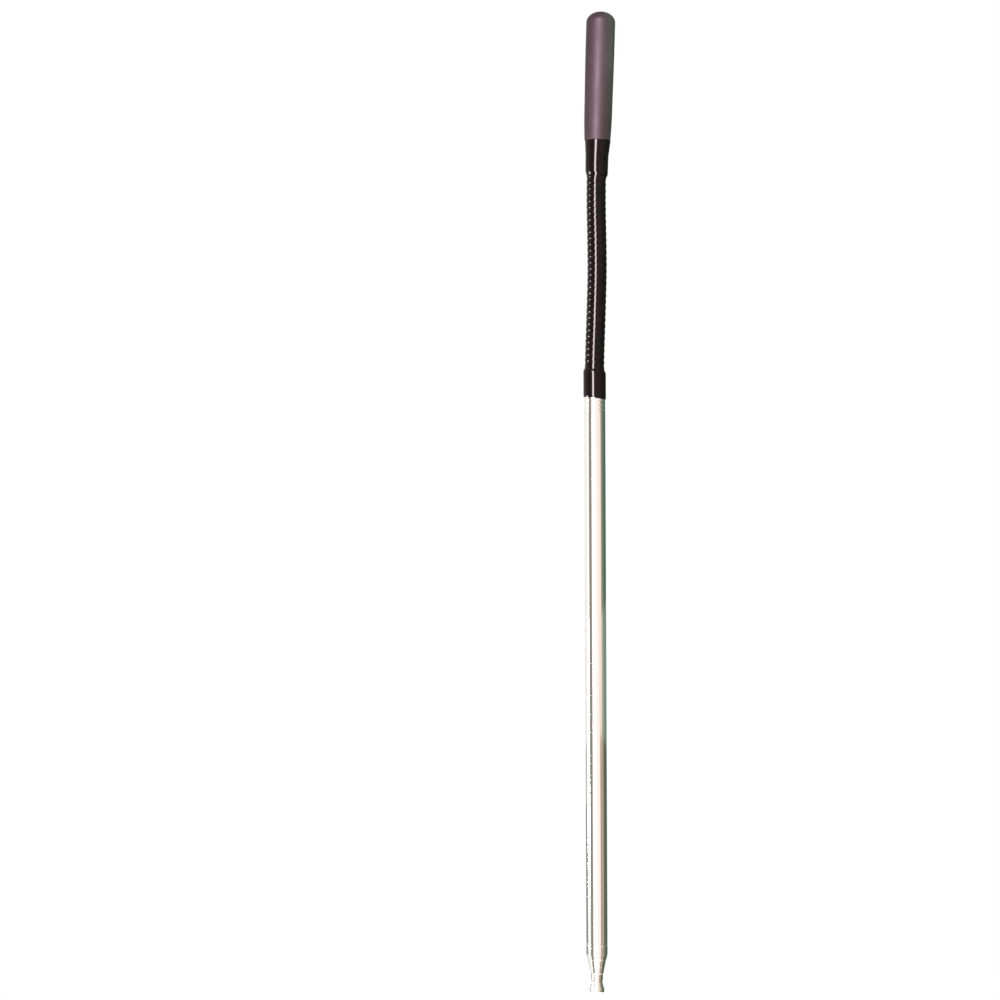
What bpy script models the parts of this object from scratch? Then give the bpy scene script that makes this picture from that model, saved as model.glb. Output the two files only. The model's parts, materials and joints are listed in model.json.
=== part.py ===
"""Magnetic pickup tool.

A rubber grip, a bendable gooseneck inside a shrunk sleeve, and a telescoping steel tube of four
sections with a round magnet in a cup at its tip. It hangs tip down from the hand that holds it.

Lengths are in metres. A height is measured from the magnet's face, up the tube's axis and on along
the neck and the grip. The tool's origin is the middle of the grip, on the grip's axis.
"""
import math

import bmesh
import bpy
from mathutils import Matrix, Vector

# General
TURN_STEPS = 20              # sides of a turned piece
FACE_GAP = 0.0003            # between pieces that meet face to face
RUN_GAP = 0.0002             # between pieces that run in each other
FIT_GAP = 0.00015            # between pieces that are pressed or glued together

# Magnet and its cup
MAGNET_RADIUS = 0.0028
MAGNET_LENGTH = 0.0050
CUP_TOP = 0.0110
CUP_NECK_HEIGHT = 0.0063
CUP_NECK_RADIUS = 0.0032
CUP_SHANK_RADIUS = 0.0035
CUP_RIM_RADIUS = 0.0043
CUP_WEB = (0.0054, 0.0072)   # heights of the wall between the magnet and the tip tube
STUD_RADIUS = 0.0011
PLUG_TOP = 0.0180

# Telescoping sections, outermost first: outer radius, bore radius, nose height, base height
OUTER, MIDDLE_1, MIDDLE_2, TIP = range(4)
RADIUS = (0.00635, 0.00500, 0.00380, 0.00285)
BORE = (0.00575, 0.00450, 0.00335, 0.00235)
NOSE = (0.0195, 0.0151, 0.0113, 0.0076)
BASE = (0.3720, 0.3400, 0.3325, 0.3250)
NOSE_LENGTH = 0.0036         # the swaged stretch at the outer tube's mouth
LEDGE_RISE = 0.0029          # from a section's lip up to where its full bore begins
LIP_RADIUS = (0.00555, 0.00460, 0.00387)
COLLAR_RADIUS = {MIDDLE_1: 0.00535, MIDDLE_2: 0.00448}   # stops a section as it slides home
BEAD_DROP = 0.0240           # from a section's base down to its rolled bead
BEAD_HALF = 0.0006
BUSH_FLANGE = 0.0025
BUSH_SPIGOT = 0.0040
BUSH_WALL = 0.00075
SPRING_SLOT = math.radians(45)

# Rolled grooves in the outer tube
GROOVE_DEPTH = 0.00025
GROOVE_HALF = 0.0009
CRIMP_HEIGHTS = (0.3549, 0.3522, 0.3495)
RING_HEIGHT = 0.0288

# Gooseneck: the stretch that bends, and its two wires
NECK_BOTTOM = 0.3735
NECK_TOP = 0.4905
HINGES = 12
LINK_GAP = 0.0019            # lets neighbouring links tilt 18 degrees
COIL_PITCH = 0.00369
COIL_BOTTOM = 0.3625
COIL_TOP = 0.5035
SPRING_WIRE_RADIUS = 0.0011
SPRING_COIL_RADIUS = 0.00355
WEDGE_OUTER_RADIUS = 0.00495
WEDGE_INNER_RADIUS = 0.00385
WEDGE_HALF_WIDTH = 0.0011
SPRING_STEPS_PER_TURN = 8
WEDGE_STEPS_PER_TURN = 10
SOCKET_RADIUS = 0.00515

# The neck's slight bend, sideways offset against height, as a hand left it
BEND = ((0.0, 0.3735), (0.0009, 0.404), (0.00175, 0.432), (0.0017, 0.452), (0.0014, 0.472), (0.0016, 0.4905))
GRIP_SLOPE = 0.0324

# Ferrules
LOWER_FERRULE_BOTTOM = 0.3465
LOWER_SOCKET_FLOOR = 0.3610
LOWER_COLLAR = (0.3723, 0.3733)
LOWER_COLLAR_RADIUS = 0.0060
UPPER_FERRULE_BOTTOM = 0.4929
UPPER_SOCKET_ROOF = 0.5050
SHOULDER_TOP = 0.5115
SHOULDER_RADIUS = 0.0071
SHOULDER_FOOT = 0.5018
SOCKET_OUTER_RADIUS = 0.00625
TANG_RADIUS = 0.0037
TANG_TOP = 0.5260
HOLE_RADIUS = 0.0018

# Sleeve
SLEEVE_BOTTOM = 0.3570
SLEEVE_TOP = 0.5118
SLEEVE_RIB_RADIUS = 0.00585
SLEEVE_RIB_BORE = 0.0052
SLEEVE_RINGS = 6             # rings along the ribbed stretch

# Handle
CORE_RADIUS = 0.0051
CORE_BORE = 0.0039
CORE_TOP = 0.5835
GRIP_BOTTOM = 0.5121
GRIP_TOP = 0.5894
GRIP_BORE = 0.0053
GRIP_RADIUS = 0.0087
GRIP_CROWN_FLAT = 0.0015     # radius of the flat at the top of the dome
GRIP_DOME_DEPTH = 0.0066
GRIP_MIDDLE = (GRIP_BOTTOM + GRIP_TOP) / 2

MATERIALS = {
    "grip_rubber": ((0.062, 0.045, 0.052), 0.0, 0.62),
    "sleeve_vinyl": ((0.006, 0.006, 0.007), 0.0, 0.16),
    "chrome": ((0.83, 0.82, 0.80), 1.0, 0.07),
    "nickel": ((0.74, 0.71, 0.64), 1.0, 0.16),
    "spring_steel": ((0.46, 0.46, 0.47), 1.0, 0.30),
    "turned_steel": ((0.52, 0.52, 0.53), 1.0, 0.35),
    "brass": ((0.72, 0.52, 0.24), 1.0, 0.28),
    "bronze": ((0.60, 0.38, 0.22), 1.0, 0.32),
    "magnet_plate": ((0.62, 0.61, 0.59), 1.0, 0.22),
}

frames = {}                  # each object's place, by name, before the tool is moved to its origin


def clear_scene():
    for thing in list(bpy.data.objects):
        bpy.data.objects.remove(thing, do_unlink=True)


def new_collection(name):
    collection = bpy.data.collections.new(name)
    bpy.context.scene.collection.children.link(collection)
    return collection


def material(name):
    found = bpy.data.materials.get(name)
    if found:
        return found
    colour, metallic, roughness = MATERIALS[name]
    made = bpy.data.materials.new(name)
    made.use_nodes = True
    shader = made.node_tree.nodes["Principled BSDF"]
    shader.inputs["Base Color"].default_value = (*colour, 1.0)
    shader.inputs["Metallic"].default_value = metallic
    shader.inputs["Roughness"].default_value = roughness
    return made


# The line that the whole tool follows

def bend_slopes():
    """The slope at each point of BEND: upright at the tube, the grip's lean at the top."""
    slopes = [0.0]
    for (x0, z0), (x1, z1) in zip(BEND, BEND[2:]):
        slopes.append((x1 - x0) / (z1 - z0))
    slopes.append(GRIP_SLOPE)
    return slopes


def spine_offset(height):
    """(sideways offset, slope) of the tool's axis at a height."""
    if height <= NECK_BOTTOM:
        return 0.0, 0.0
    if height >= NECK_TOP:
        return BEND[-1][0] + GRIP_SLOPE * (height - NECK_TOP), GRIP_SLOPE
    slopes = bend_slopes()
    i = max(n for n, (x, z) in enumerate(BEND[:-1]) if z <= height)
    (x0, z0), (x1, z1) = BEND[i], BEND[i + 1]
    span = z1 - z0
    t = (height - z0) / span
    a, b = slopes[i] * span, slopes[i + 1] * span
    offset = (
        x0 * (2 * t**3 - 3 * t**2 + 1) + a * (t**3 - 2 * t**2 + t)
        + x1 * (3 * t**2 - 2 * t**3) + b * (t**3 - t**2)
    )
    slope = (6 * (x1 - x0) * (t - t**2) + a * (3 * t**2 - 4 * t + 1) + b * (3 * t**2 - 2 * t)) / span
    return offset, slope


def spine_frame(height):
    """The place on the axis at a height: Z along the axis, Y across the bend."""
    offset, slope = spine_offset(height)
    lean = Matrix.Rotation(math.atan(slope), 4, "Y")
    return Matrix.Translation((offset, 0, height)) @ lean


# Making objects

def place(thing, parent, frame):
    """Hang a thing at a frame of the tool under its parent."""
    frames[thing.name] = frame
    if parent:
        thing.parent = parent
        thing.matrix_local = frames[parent.name].inverted() @ frame
    else:
        thing.matrix_local = frame
    return thing


def empty(name, parent, frame):
    thing = bpy.data.objects.new(name, None)
    thing.empty_display_size = 0.005
    tool.objects.link(thing)
    return place(thing, parent, frame)


def object_of(name, mesh, slot, parent, frame, sharp=30):
    mesh.name = name
    mesh.materials.clear()
    mesh.materials.append(material(slot))
    mesh.shade_smooth()
    mesh.set_sharp_from_angle(angle=math.radians(sharp))
    thing = bpy.data.objects.new(name, mesh)
    tool.objects.link(thing)
    return place(thing, parent, frame)


def add_screw(thing, steps, angle=2 * math.pi, rise=0.0):
    screw = thing.modifiers.new("turn", "SCREW")
    screw.axis = "Z"
    screw.steps = steps
    screw.render_steps = steps
    screw.angle = angle
    screw.screw_offset = rise
    screw.use_merge_vertices = rise == 0.0
    screw.merge_threshold = 0.00001
    return screw


def outline_mesh(points, closed):
    mesh = bpy.data.meshes.new("outline")
    edges = [(n, n + 1) for n in range(len(points) - 1)]
    if closed:
        edges.append((len(points) - 1, 0))
    mesh.from_pydata([(radius, 0.0, height) for radius, height in points], edges, [])
    return mesh


def evaluated_mesh(thing):
    """The mesh that a scratch object's modifiers make. The scratch object is removed."""
    tool.objects.link(thing)
    graph = bpy.context.evaluated_depsgraph_get()
    mesh = bpy.data.meshes.new_from_object(thing.evaluated_get(graph))
    bpy.data.objects.remove(thing, do_unlink=True)
    return mesh


def turned_mesh(outline, foot=0.0):
    """A turned body. The outline is (radius, height) points down the outer side, top to bottom,
    then up the bore. An outline that starts and ends on the axis makes a body with no bore.
    """
    closed = outline[0][0] > 0
    points = [(radius, height - foot) for radius, height in outline]
    scratch = bpy.data.objects.new("scratch", outline_mesh(points, closed))
    add_screw(scratch, TURN_STEPS)
    return evaluated_mesh(scratch)


def turned(name, outline, slot, parent, foot):
    """A turned piece with its origin on the axis at the height foot."""
    return object_of(name, turned_mesh(outline, foot), slot, parent, spine_frame(foot))


def arc(centre, radius, start, end, steps):
    """Points along an arc, with angles in degrees from the +radius direction."""
    points = []
    for n in range(steps + 1):
        angle = math.radians(start + (end - start) * n / steps)
        points.append((centre[0] + radius * math.cos(angle), centre[1] + radius * math.sin(angle)))
    return points


def lay_on_spine(mesh, frame):
    """Bend a mesh made straight up from height 0 so that it follows the axis."""
    inverse = frame.inverted()
    for vertex in mesh.vertices:
        x, y, height = vertex.co
        vertex.co = inverse @ (spine_frame(height) @ Vector((x, y, 0)))


# Tip

def make_magnet(parent):
    form = bmesh.new()
    bmesh.ops.create_cone(
        form, cap_ends=True, segments=TURN_STEPS,
        radius1=MAGNET_RADIUS, radius2=MAGNET_RADIUS, depth=MAGNET_LENGTH,
        matrix=Matrix.Translation((0, 0, MAGNET_LENGTH / 2)),
    )
    mesh = bpy.data.meshes.new("magnet")
    form.to_mesh(mesh)
    form.free()
    object_of("magnet", mesh, "magnet_plate", parent, spine_frame(0))


def make_cup(parent):
    pocket = MAGNET_RADIUS + FIT_GAP
    seat = RADIUS[TIP] + FIT_GAP
    hole = STUD_RADIUS + FIT_GAP
    web_bottom, web_top = CUP_WEB
    edge = 0.0006
    outline = [
        (CUP_SHANK_RADIUS - edge / 2, CUP_TOP),
        (CUP_SHANK_RADIUS, CUP_TOP - edge / 2),
        (CUP_SHANK_RADIUS, 0.0082),
        (CUP_NECK_RADIUS, CUP_NECK_HEIGHT),
        (CUP_NECK_RADIUS + 0.0002, 0.0050),
        (CUP_RIM_RADIUS - 0.0002, 0.0026),
        (CUP_RIM_RADIUS, 0.0018),
    ]
    outline += arc((CUP_RIM_RADIUS - edge, edge), edge, 0, -90, 3)
    outline += [(pocket, 0.0), (pocket, web_bottom), (hole, web_bottom), (hole, web_top)]
    outline += [(seat, web_top), (seat, CUP_TOP)]
    turned("magnet_cup", outline, "nickel", parent, CUP_NECK_HEIGHT)


def make_plug(parent):
    """The plug pressed in the tip tube. Its stud is riveted through the cup's web."""
    plug = BORE[TIP] - FIT_GAP
    web_bottom, web_top = CUP_WEB
    shoulder = web_top + FACE_GAP
    outline = [(0.0, PLUG_TOP), (plug, PLUG_TOP), (plug, shoulder)]
    outline += [(STUD_RADIUS, shoulder), (STUD_RADIUS, web_bottom), (0.0, web_bottom)]
    turned("tip_plug", outline, "turned_steel", parent, shoulder)


# Telescoping tube

def groove(height):
    """A rolled groove in the outer tube, down the outer side."""
    wall = RADIUS[OUTER]
    return [
        (wall, height + GROOVE_HALF),
        (wall - GROOVE_DEPTH, height),
        (wall, height - GROOVE_HALF),
    ]


def ledge_height(section):
    """Where the narrow mouth of a section ends inside and its full bore begins."""
    return NOSE[section] + LEDGE_RISE


def mouth(section):
    """The narrow mouth that the next section runs in, from the lip up the inside."""
    lip_bore = RADIUS[section + 1] + RUN_GAP
    return [
        (LIP_RADIUS[section], NOSE[section]),
        (lip_bore, NOSE[section]),
        (lip_bore, ledge_height(section) - 0.0008),
        (BORE[section], ledge_height(section)),
        (BORE[section], BASE[section]),
    ]


def round_shoulder():
    """The outer tube's rounded end, from its wall in to its lip."""
    points = []
    for n in range(4):
        angle = math.radians(22.5 * n)
        inset = (RADIUS[OUTER] - LIP_RADIUS[OUTER]) * (1 - math.cos(angle))
        points.append((RADIUS[OUTER] - inset, NOSE[OUTER] + NOSE_LENGTH * (1 - math.sin(angle))))
    return points


def nose_cone(section):
    """A middle section's nose: a collar that stops on the mouth above, tapering to the lip."""
    top = NOSE[section - 1] - FACE_GAP
    return [(RADIUS[section], top), (COLLAR_RADIUS[section], top)]


def bead_height(section):
    return BASE[section] - BEAD_DROP


def bead(section):
    """The rolled bead that holds up the friction spring and stops the section at its full reach."""
    wall = RADIUS[section]
    crest = BORE[section - 1] - FIT_GAP
    height = bead_height(section)
    return [
        (wall, height + BEAD_HALF),
        (crest, height + BEAD_HALF / 2),
        (crest, height - BEAD_HALF / 2),
        (wall, height - BEAD_HALF),
    ]


def travel(section):
    """How far a section slides out of the one around it, until its bead meets that one's mouth."""
    return bead_height(section) - BEAD_HALF - ledge_height(section - 1) - FACE_GAP


def make_outer_tube(parent):
    outline = [(RADIUS[OUTER], BASE[OUTER])]
    for height in CRIMP_HEIGHTS:
        outline += groove(height)
    outline += groove(RING_HEIGHT)
    outline += round_shoulder()
    outline += mouth(OUTER)
    turned("outer_tube", outline, "chrome", parent, BASE[OUTER])


def make_middle_tube(section, parent):
    outline = [(RADIUS[section], BASE[section])]
    outline += bead(section)
    outline += nose_cone(section)
    outline += mouth(section)
    turned(f"middle_tube_{section}", outline, "chrome", parent, BASE[section])


def make_tip_tube(parent):
    outline = [(RADIUS[TIP], BASE[TIP])]
    outline += bead(TIP)
    outline += [(RADIUS[TIP], NOSE[TIP]), (BORE[TIP], NOSE[TIP]), (BORE[TIP], BASE[TIP])]
    turned("tip_tube", outline, "chrome", parent, BASE[TIP])


def make_stop_bush(section, parent):
    """A brass bush in a section's base. Its flange guides the base in the bore around it."""
    flange = BORE[section - 1] - RUN_GAP
    spigot = BORE[section] - FIT_GAP
    hole = BORE[section] - BUSH_WALL
    seat = BASE[section] + FACE_GAP
    outline = [(flange, seat + BUSH_FLANGE), (flange, seat), (spigot, seat)]
    outline += [(spigot, BASE[section] - BUSH_SPIGOT), (hole, BASE[section] - BUSH_SPIGOT)]
    outline.append((hole, seat + BUSH_FLANGE))
    turned(f"stop_bush_{section}", outline, "brass", parent, BASE[section])


def make_friction_spring(section, parent):
    """A split bronze sleeve between a section and the bore around it, from bead to flange."""
    inner = RADIUS[section] + FIT_GAP
    outer = BORE[section - 1] - FIT_GAP
    low = bead_height(section) + BEAD_HALF + FACE_GAP
    high = BASE[section] - FACE_GAP
    middle = (inner + outer) / 2
    foot = BASE[section]
    edge = outline_mesh([(middle, high - foot), (middle, low - foot)], closed=False)
    scratch = bpy.data.objects.new("scratch", edge)
    add_screw(scratch, TURN_STEPS - 4, 2 * math.pi - SPRING_SLOT)
    shell = scratch.modifiers.new("wall", "SOLIDIFY")
    shell.thickness = outer - inner
    shell.offset = 0
    mesh = evaluated_mesh(scratch)
    object_of(f"friction_spring_{section}", mesh, "bronze", parent, spine_frame(foot))


# Gooseneck

def hinge_height(index):
    """The height of a neck hinge, counted down from the grip."""
    return NECK_TOP - (index + 0.5) * (NECK_TOP - NECK_BOTTOM) / HINGES


def make_neck_spring(parent):
    """The round inner wire, one coil from ferrule to ferrule."""
    turns = (COIL_TOP - COIL_BOTTOM - 2 * SPRING_WIRE_RADIUS) / COIL_PITCH
    count = int(turns * SPRING_STEPS_PER_TURN)
    inverse = frames[parent.name].inverted()
    curve = bpy.data.curves.new("neck_spring", "CURVE")
    curve.dimensions = "3D"
    curve.bevel_depth = SPRING_WIRE_RADIUS
    curve.bevel_resolution = 2
    curve.use_fill_caps = True
    curve.materials.append(material("spring_steel"))
    spline = curve.splines.new("POLY")
    spline.points.add(count)
    for n, point in enumerate(spline.points):
        angle = 2 * math.pi * n / SPRING_STEPS_PER_TURN
        height = COIL_BOTTOM + SPRING_WIRE_RADIUS + COIL_PITCH * n / SPRING_STEPS_PER_TURN
        across = Vector((math.cos(angle), math.sin(angle), 0)) * SPRING_COIL_RADIUS
        point.co = (*(inverse @ (spine_frame(height) @ across)), 1.0)
    spline.use_smooth = True
    spring = bpy.data.objects.new("neck_spring", curve)
    tool.objects.link(spring)
    place(spring, parent, frames[parent.name])


def make_wedge(index, low, high, parent):
    """One link's stretch of the wedge-shaped outer wire, which lies in the round wire's groove."""
    turns = (high - low - 2 * WEDGE_HALF_WIDTH) / COIL_PITCH
    start = low + WEDGE_HALF_WIDTH
    groove_start = COIL_BOTTOM + SPRING_WIRE_RADIUS + COIL_PITCH / 2
    angle = 2 * math.pi * (start - groove_start) / COIL_PITCH
    section = [
        (WEDGE_OUTER_RADIUS, start + WEDGE_HALF_WIDTH),
        (WEDGE_OUTER_RADIUS, start - WEDGE_HALF_WIDTH),
        (WEDGE_INNER_RADIUS, start),
    ]
    scratch = bpy.data.objects.new("scratch", outline_mesh(section, closed=True))
    steps = math.ceil(turns * WEDGE_STEPS_PER_TURN)
    add_screw(scratch, steps, 2 * math.pi * turns, turns * COIL_PITCH)
    mesh = evaluated_mesh(scratch)
    mesh.transform(Matrix.Rotation(angle, 4, "Z"))
    form = bmesh.new()
    form.from_mesh(mesh)
    bmesh.ops.holes_fill(form, edges=[edge for edge in form.edges if edge.is_boundary])
    bmesh.ops.recalc_face_normals(form, faces=form.faces)
    form.to_mesh(mesh)
    form.free()
    frame = frames[parent.name]
    lay_on_spine(mesh, frame)
    object_of(f"neck_wedge_{index:02d}", mesh, "spring_steel", parent, frame)


def make_neck(handle):
    """The chain of hinges down the neck, with a stretch of outer wire on each link."""
    parent = handle
    high = COIL_TOP
    for index in range(HINGES):
        height = hinge_height(index)
        make_wedge(index, height + LINK_GAP / 2, high, parent)
        parent = empty(f"neck_hinge_{index:02d}", parent, spine_frame(height))
        high = height - LINK_GAP / 2
    make_wedge(HINGES, COIL_BOTTOM, high, parent)
    return parent


def make_lower_ferrule(parent):
    """The plug crimped in the top of the outer tube, with a socket for the coil."""
    spigot = BORE[OUTER] - RUN_GAP
    collar_bottom, collar_top = LOWER_COLLAR
    outline = [
        (LOWER_COLLAR_RADIUS, collar_top),
        (LOWER_COLLAR_RADIUS, collar_bottom),
        (spigot, collar_bottom),
        (spigot, LOWER_FERRULE_BOTTOM),
        (HOLE_RADIUS, LOWER_FERRULE_BOTTOM),
        (HOLE_RADIUS, LOWER_SOCKET_FLOOR),
        (SOCKET_RADIUS, LOWER_SOCKET_FLOOR),
        (SOCKET_RADIUS, collar_top),
    ]
    turned("lower_ferrule", outline, "turned_steel", parent, LOWER_SOCKET_FLOOR)


def make_sleeve(parent):
    """The shrunk sleeve over the tube's end, the coil and the upper ferrule."""
    outline = [(0.00775, SLEEVE_TOP), (0.0069, 0.5015), (0.0069, 0.4923)]
    rings = []
    top, bottom = 0.4899, 0.3751
    for n in range(SLEEVE_RINGS + 1):
        rings.append(top + (bottom - top) * n / SLEEVE_RINGS)
    outline += [(SLEEVE_RIB_RADIUS, height) for height in rings]
    outline += [(0.0068, 0.3725), (0.0068, SLEEVE_BOTTOM + 0.0007), (0.00665, SLEEVE_BOTTOM)]
    outline += [(0.00647, SLEEVE_BOTTOM), (0.00647, 0.3737)]
    outline += [(SLEEVE_RIB_BORE, height + 0.0001) for height in reversed(rings)]
    outline += [(0.00645, 0.4926), (0.00645, 0.5015), (0.0073, SLEEVE_TOP)]
    mesh = turned_mesh(outline)
    frame = frames[parent.name]
    lay_on_spine(mesh, frame)
    object_of("neck_sleeve", mesh, "sleeve_vinyl", parent, frame, sharp=50)


# Handle

def make_upper_ferrule(parent):
    outline = [
        (TANG_RADIUS, TANG_TOP),
        (TANG_RADIUS, SHOULDER_TOP),
        (SHOULDER_RADIUS, SHOULDER_TOP),
        (SOCKET_OUTER_RADIUS, SHOULDER_FOOT),
        (SOCKET_OUTER_RADIUS, UPPER_FERRULE_BOTTOM + 0.0004),
        (SOCKET_OUTER_RADIUS - 0.0004, UPPER_FERRULE_BOTTOM),
        (SOCKET_RADIUS, UPPER_FERRULE_BOTTOM),
        (SOCKET_RADIUS, UPPER_SOCKET_ROOF),
        (HOLE_RADIUS, UPPER_SOCKET_ROOF),
        (HOLE_RADIUS, TANG_TOP),
    ]
    turned("upper_ferrule", outline, "turned_steel", parent, NECK_TOP)


def make_handle_core(parent):
    bottom = SHOULDER_TOP + FACE_GAP
    outline = [(CORE_RADIUS, CORE_TOP), (CORE_RADIUS, bottom), (CORE_BORE, bottom), (CORE_BORE, CORE_TOP)]
    turned("handle_core", outline, "turned_steel", parent, NECK_TOP)


def make_grip(parent):
    outline = [(0.0, GRIP_TOP)]
    for across, up in arc((0.0, 0.0), 1.0, 90, 0, 7):
        radius = GRIP_CROWN_FLAT + (GRIP_RADIUS - GRIP_CROWN_FLAT) * across
        outline.append((radius, GRIP_TOP - GRIP_DOME_DEPTH * (1 - up)))
    outline += [
        (GRIP_RADIUS, 0.566),
        (0.00845, 0.538),
        (0.0083, 0.524),
        (0.00785, GRIP_BOTTOM + 0.0005),
        (0.0075, GRIP_BOTTOM),
        (GRIP_BORE, GRIP_BOTTOM),
        (GRIP_BORE, CORE_TOP + FACE_GAP),
        (0.0, CORE_TOP + FACE_GAP),
    ]
    turned("grip", outline, "grip_rubber", parent, NECK_TOP)


def make_tool():
    origin = empty("tool_frame", None, Matrix.Identity(4))
    handle = empty("handle_frame", origin, spine_frame(NECK_TOP))
    make_grip(handle)
    make_handle_core(handle)
    make_upper_ferrule(handle)
    make_sleeve(handle)
    make_neck_spring(handle)
    parent = make_neck(handle)
    make_lower_ferrule(parent)
    make_outer_tube(parent)
    for section in (MIDDLE_1, MIDDLE_2, TIP):
        parent = empty(f"section_{section}_slide", parent, spine_frame(BASE[section]))
        make_stop_bush(section, parent)
        make_friction_spring(section, parent)
        if section == TIP:
            make_tip_tube(parent)
        else:
            make_middle_tube(section, parent)
    make_plug(parent)
    make_cup(parent)
    make_magnet(parent)
    origin.location = -spine_frame(GRIP_MIDDLE).translation


clear_scene()
tool = new_collection("magnetic_pickup_tool")
make_tool()
bpy.context.view_layer.update()
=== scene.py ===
"""Looks of the magnetic pickup tool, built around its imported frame.

Lengths are in metres. A height is measured from the magnet's face, up the tube's axis and on along
the neck and the grip. Angles go round the tool's axis from the side that faces +X.
"""
import json
import math

import bmesh
import bpy
import numpy as np
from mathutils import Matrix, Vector

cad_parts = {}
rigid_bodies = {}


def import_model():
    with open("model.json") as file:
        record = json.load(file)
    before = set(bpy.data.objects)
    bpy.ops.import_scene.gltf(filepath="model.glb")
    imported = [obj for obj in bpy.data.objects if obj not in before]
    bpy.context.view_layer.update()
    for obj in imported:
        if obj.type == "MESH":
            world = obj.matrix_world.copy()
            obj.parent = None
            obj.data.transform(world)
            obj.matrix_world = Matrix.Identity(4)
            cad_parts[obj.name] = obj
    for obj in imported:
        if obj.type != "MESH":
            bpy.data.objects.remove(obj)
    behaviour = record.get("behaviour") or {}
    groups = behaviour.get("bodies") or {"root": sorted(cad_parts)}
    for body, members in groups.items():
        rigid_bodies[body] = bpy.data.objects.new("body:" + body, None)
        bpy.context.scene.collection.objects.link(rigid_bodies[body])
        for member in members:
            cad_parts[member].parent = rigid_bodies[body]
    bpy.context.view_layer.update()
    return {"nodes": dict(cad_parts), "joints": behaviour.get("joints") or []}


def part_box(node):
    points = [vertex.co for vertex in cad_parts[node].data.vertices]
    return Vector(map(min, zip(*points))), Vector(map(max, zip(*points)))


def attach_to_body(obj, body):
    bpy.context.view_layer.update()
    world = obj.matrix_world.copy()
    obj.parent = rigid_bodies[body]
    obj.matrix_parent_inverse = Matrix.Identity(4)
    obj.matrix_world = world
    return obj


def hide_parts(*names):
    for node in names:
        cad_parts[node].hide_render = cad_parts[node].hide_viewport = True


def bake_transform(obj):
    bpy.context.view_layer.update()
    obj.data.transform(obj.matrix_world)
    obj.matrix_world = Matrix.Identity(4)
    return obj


for thing in list(bpy.data.objects):
    bpy.data.objects.remove(thing, do_unlink=True)
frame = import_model()

# Fineness of the meshes
SIDES = 96                   # round a turned piece
SLEEVE_SIDES = 72
ROWS_PER_RIB = 22
WIRE_STEPS_PER_TURN = 28
WIRE_SIDES = 12
EDGE = 0.00012               # rounding of a turned metal edge

# Magnet, cup and plug
MAGNET_RADIUS = 0.0028
MAGNET_LENGTH = 0.0050
CUP_TOP = 0.0110
CUP_WEB = (0.0054, 0.0072)
CUP_SHANK = 0.0035
CUP_RIM = 0.0043
CUP_RIM_ROUND = 0.0006
CUP_SIDE = ((0.0018, CUP_RIM), (0.0026, 0.0041), (0.0050, 0.0034), (0.0063, 0.0032), (0.0082, CUP_SHANK))
POCKET_CHAMFER = (0.0001, 0.0002)
MAGNET_EDGE = 0.0002
STUD_RADIUS = 0.0011
PLUG_TOP = 0.0180
PRESS_GAP = 0.00015

# Telescoping sections, outermost first
RADIUS = (0.00635, 0.00500, 0.00380, 0.00285)
BORE = (0.00575, 0.00450, 0.00335, 0.00235)
LIP_RADIUS = (0.00555, 0.00460, 0.00387)
COLLAR_RADIUS = (None, 0.00535, 0.00448)
RUN_GAP = 0.0002
FACE_GAP = 0.0003
NOSE_LENGTH = 0.0036
NOSE_ROUND = 1.3             # 1 is a plain cone, 2 a round shoulder
SEAM = 0.0001                # between a lip and the next collar
LEDGE_RISE = 0.0029
MOUTH_TAPER = 0.0008
BEAD_DROP = 0.0240
BEAD_HALF = 0.0006
BUSH_FLANGE = 0.0025
BUSH_SPIGOT = 0.0040
BUSH_WALL = 0.00075
SPRING_SLOT = math.radians(45)
SPRING_EDGE = 0.0001

# Rolled grooves of the outer tube
GROOVE_DEPTH = 0.00016
GROOVE_HALF = 0.0009
CRIMP_HEIGHTS = (0.3549, 0.3522, 0.3495)
RING_HEIGHT = 0.0288

# Gooseneck wires and ferrules
COIL_PITCH = 0.00369
COIL_BOTTOM = 0.3625
COIL_TOP = 0.5035
WIRE_RADIUS = 0.0011
WIRE_COIL_RADIUS = 0.00355
WEDGE_OUTER = 0.00495
WEDGE_INNER = 0.00385
WEDGE_HALF = 0.0011
WEDGE_EDGE = 0.00025
SOCKET_RADIUS = 0.00515
HOLE_RADIUS = 0.0018
SOCKET_FLOOR = 0.3610
SOCKET_ROOF = 0.5050
LOWER_COLLAR = (0.0060, 0.0010)               # radius, length
UPPER_MOUTH = (0.00585, 0.0004)               # radius, length of its taper
UPPER_BARREL = (0.00625, 0.5018)              # radius, height of its top
UPPER_SHOULDER = (0.0071, 0.5115)             # radius, height
UPPER_NECK_RADIUS = 0.0037

# Sleeve: radius against height on its left and right side, and its ribs
SLEEVE_FOOT = (
    (0.3570, 0.00660), (0.3580, 0.00680), (0.3723, 0.00680),
    (0.3751, 0.00588), (0.4897, 0.00588),
)
SLEEVE_LEFT = SLEEVE_FOOT + ((0.4929, 0.00672), (0.5025, 0.00698), (0.5118, 0.00752))
SLEEVE_RIGHT = SLEEVE_FOOT + ((0.4929, 0.00682), (0.5025, 0.00688), (0.5070, 0.00730), (0.5118, 0.00782))
SLEEVE_BORE = (
    (0.3570, 0.00647), (0.3722, 0.00647), (0.3750, 0.00520), (0.4890, 0.00520),
    (0.4926, 0.00645), (0.5015, 0.00645), (0.5118, 0.00731),
)
FOOT_FLARE = 0.15            # slope of the sleeve's side at its foot, and at its top left and right
LEFT_FLARE = 0.02
RIGHT_FLARE = 0.10
RIB_DEPTH = 0.00030
RIB_CREASE = 0.00036         # half width of the crease between two ribs
RIB_CROWN = 0.00007
RIBS_BOTTOM = 0.3745
RIBS_TOP = 0.4910
RIB_FADE = 0.0020
CUT_SLANT = 0.0008
SLANT_FREE = (0.3840, 0.4810)   # no slant between these heights
SLANT_FADE = 0.0030

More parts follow.
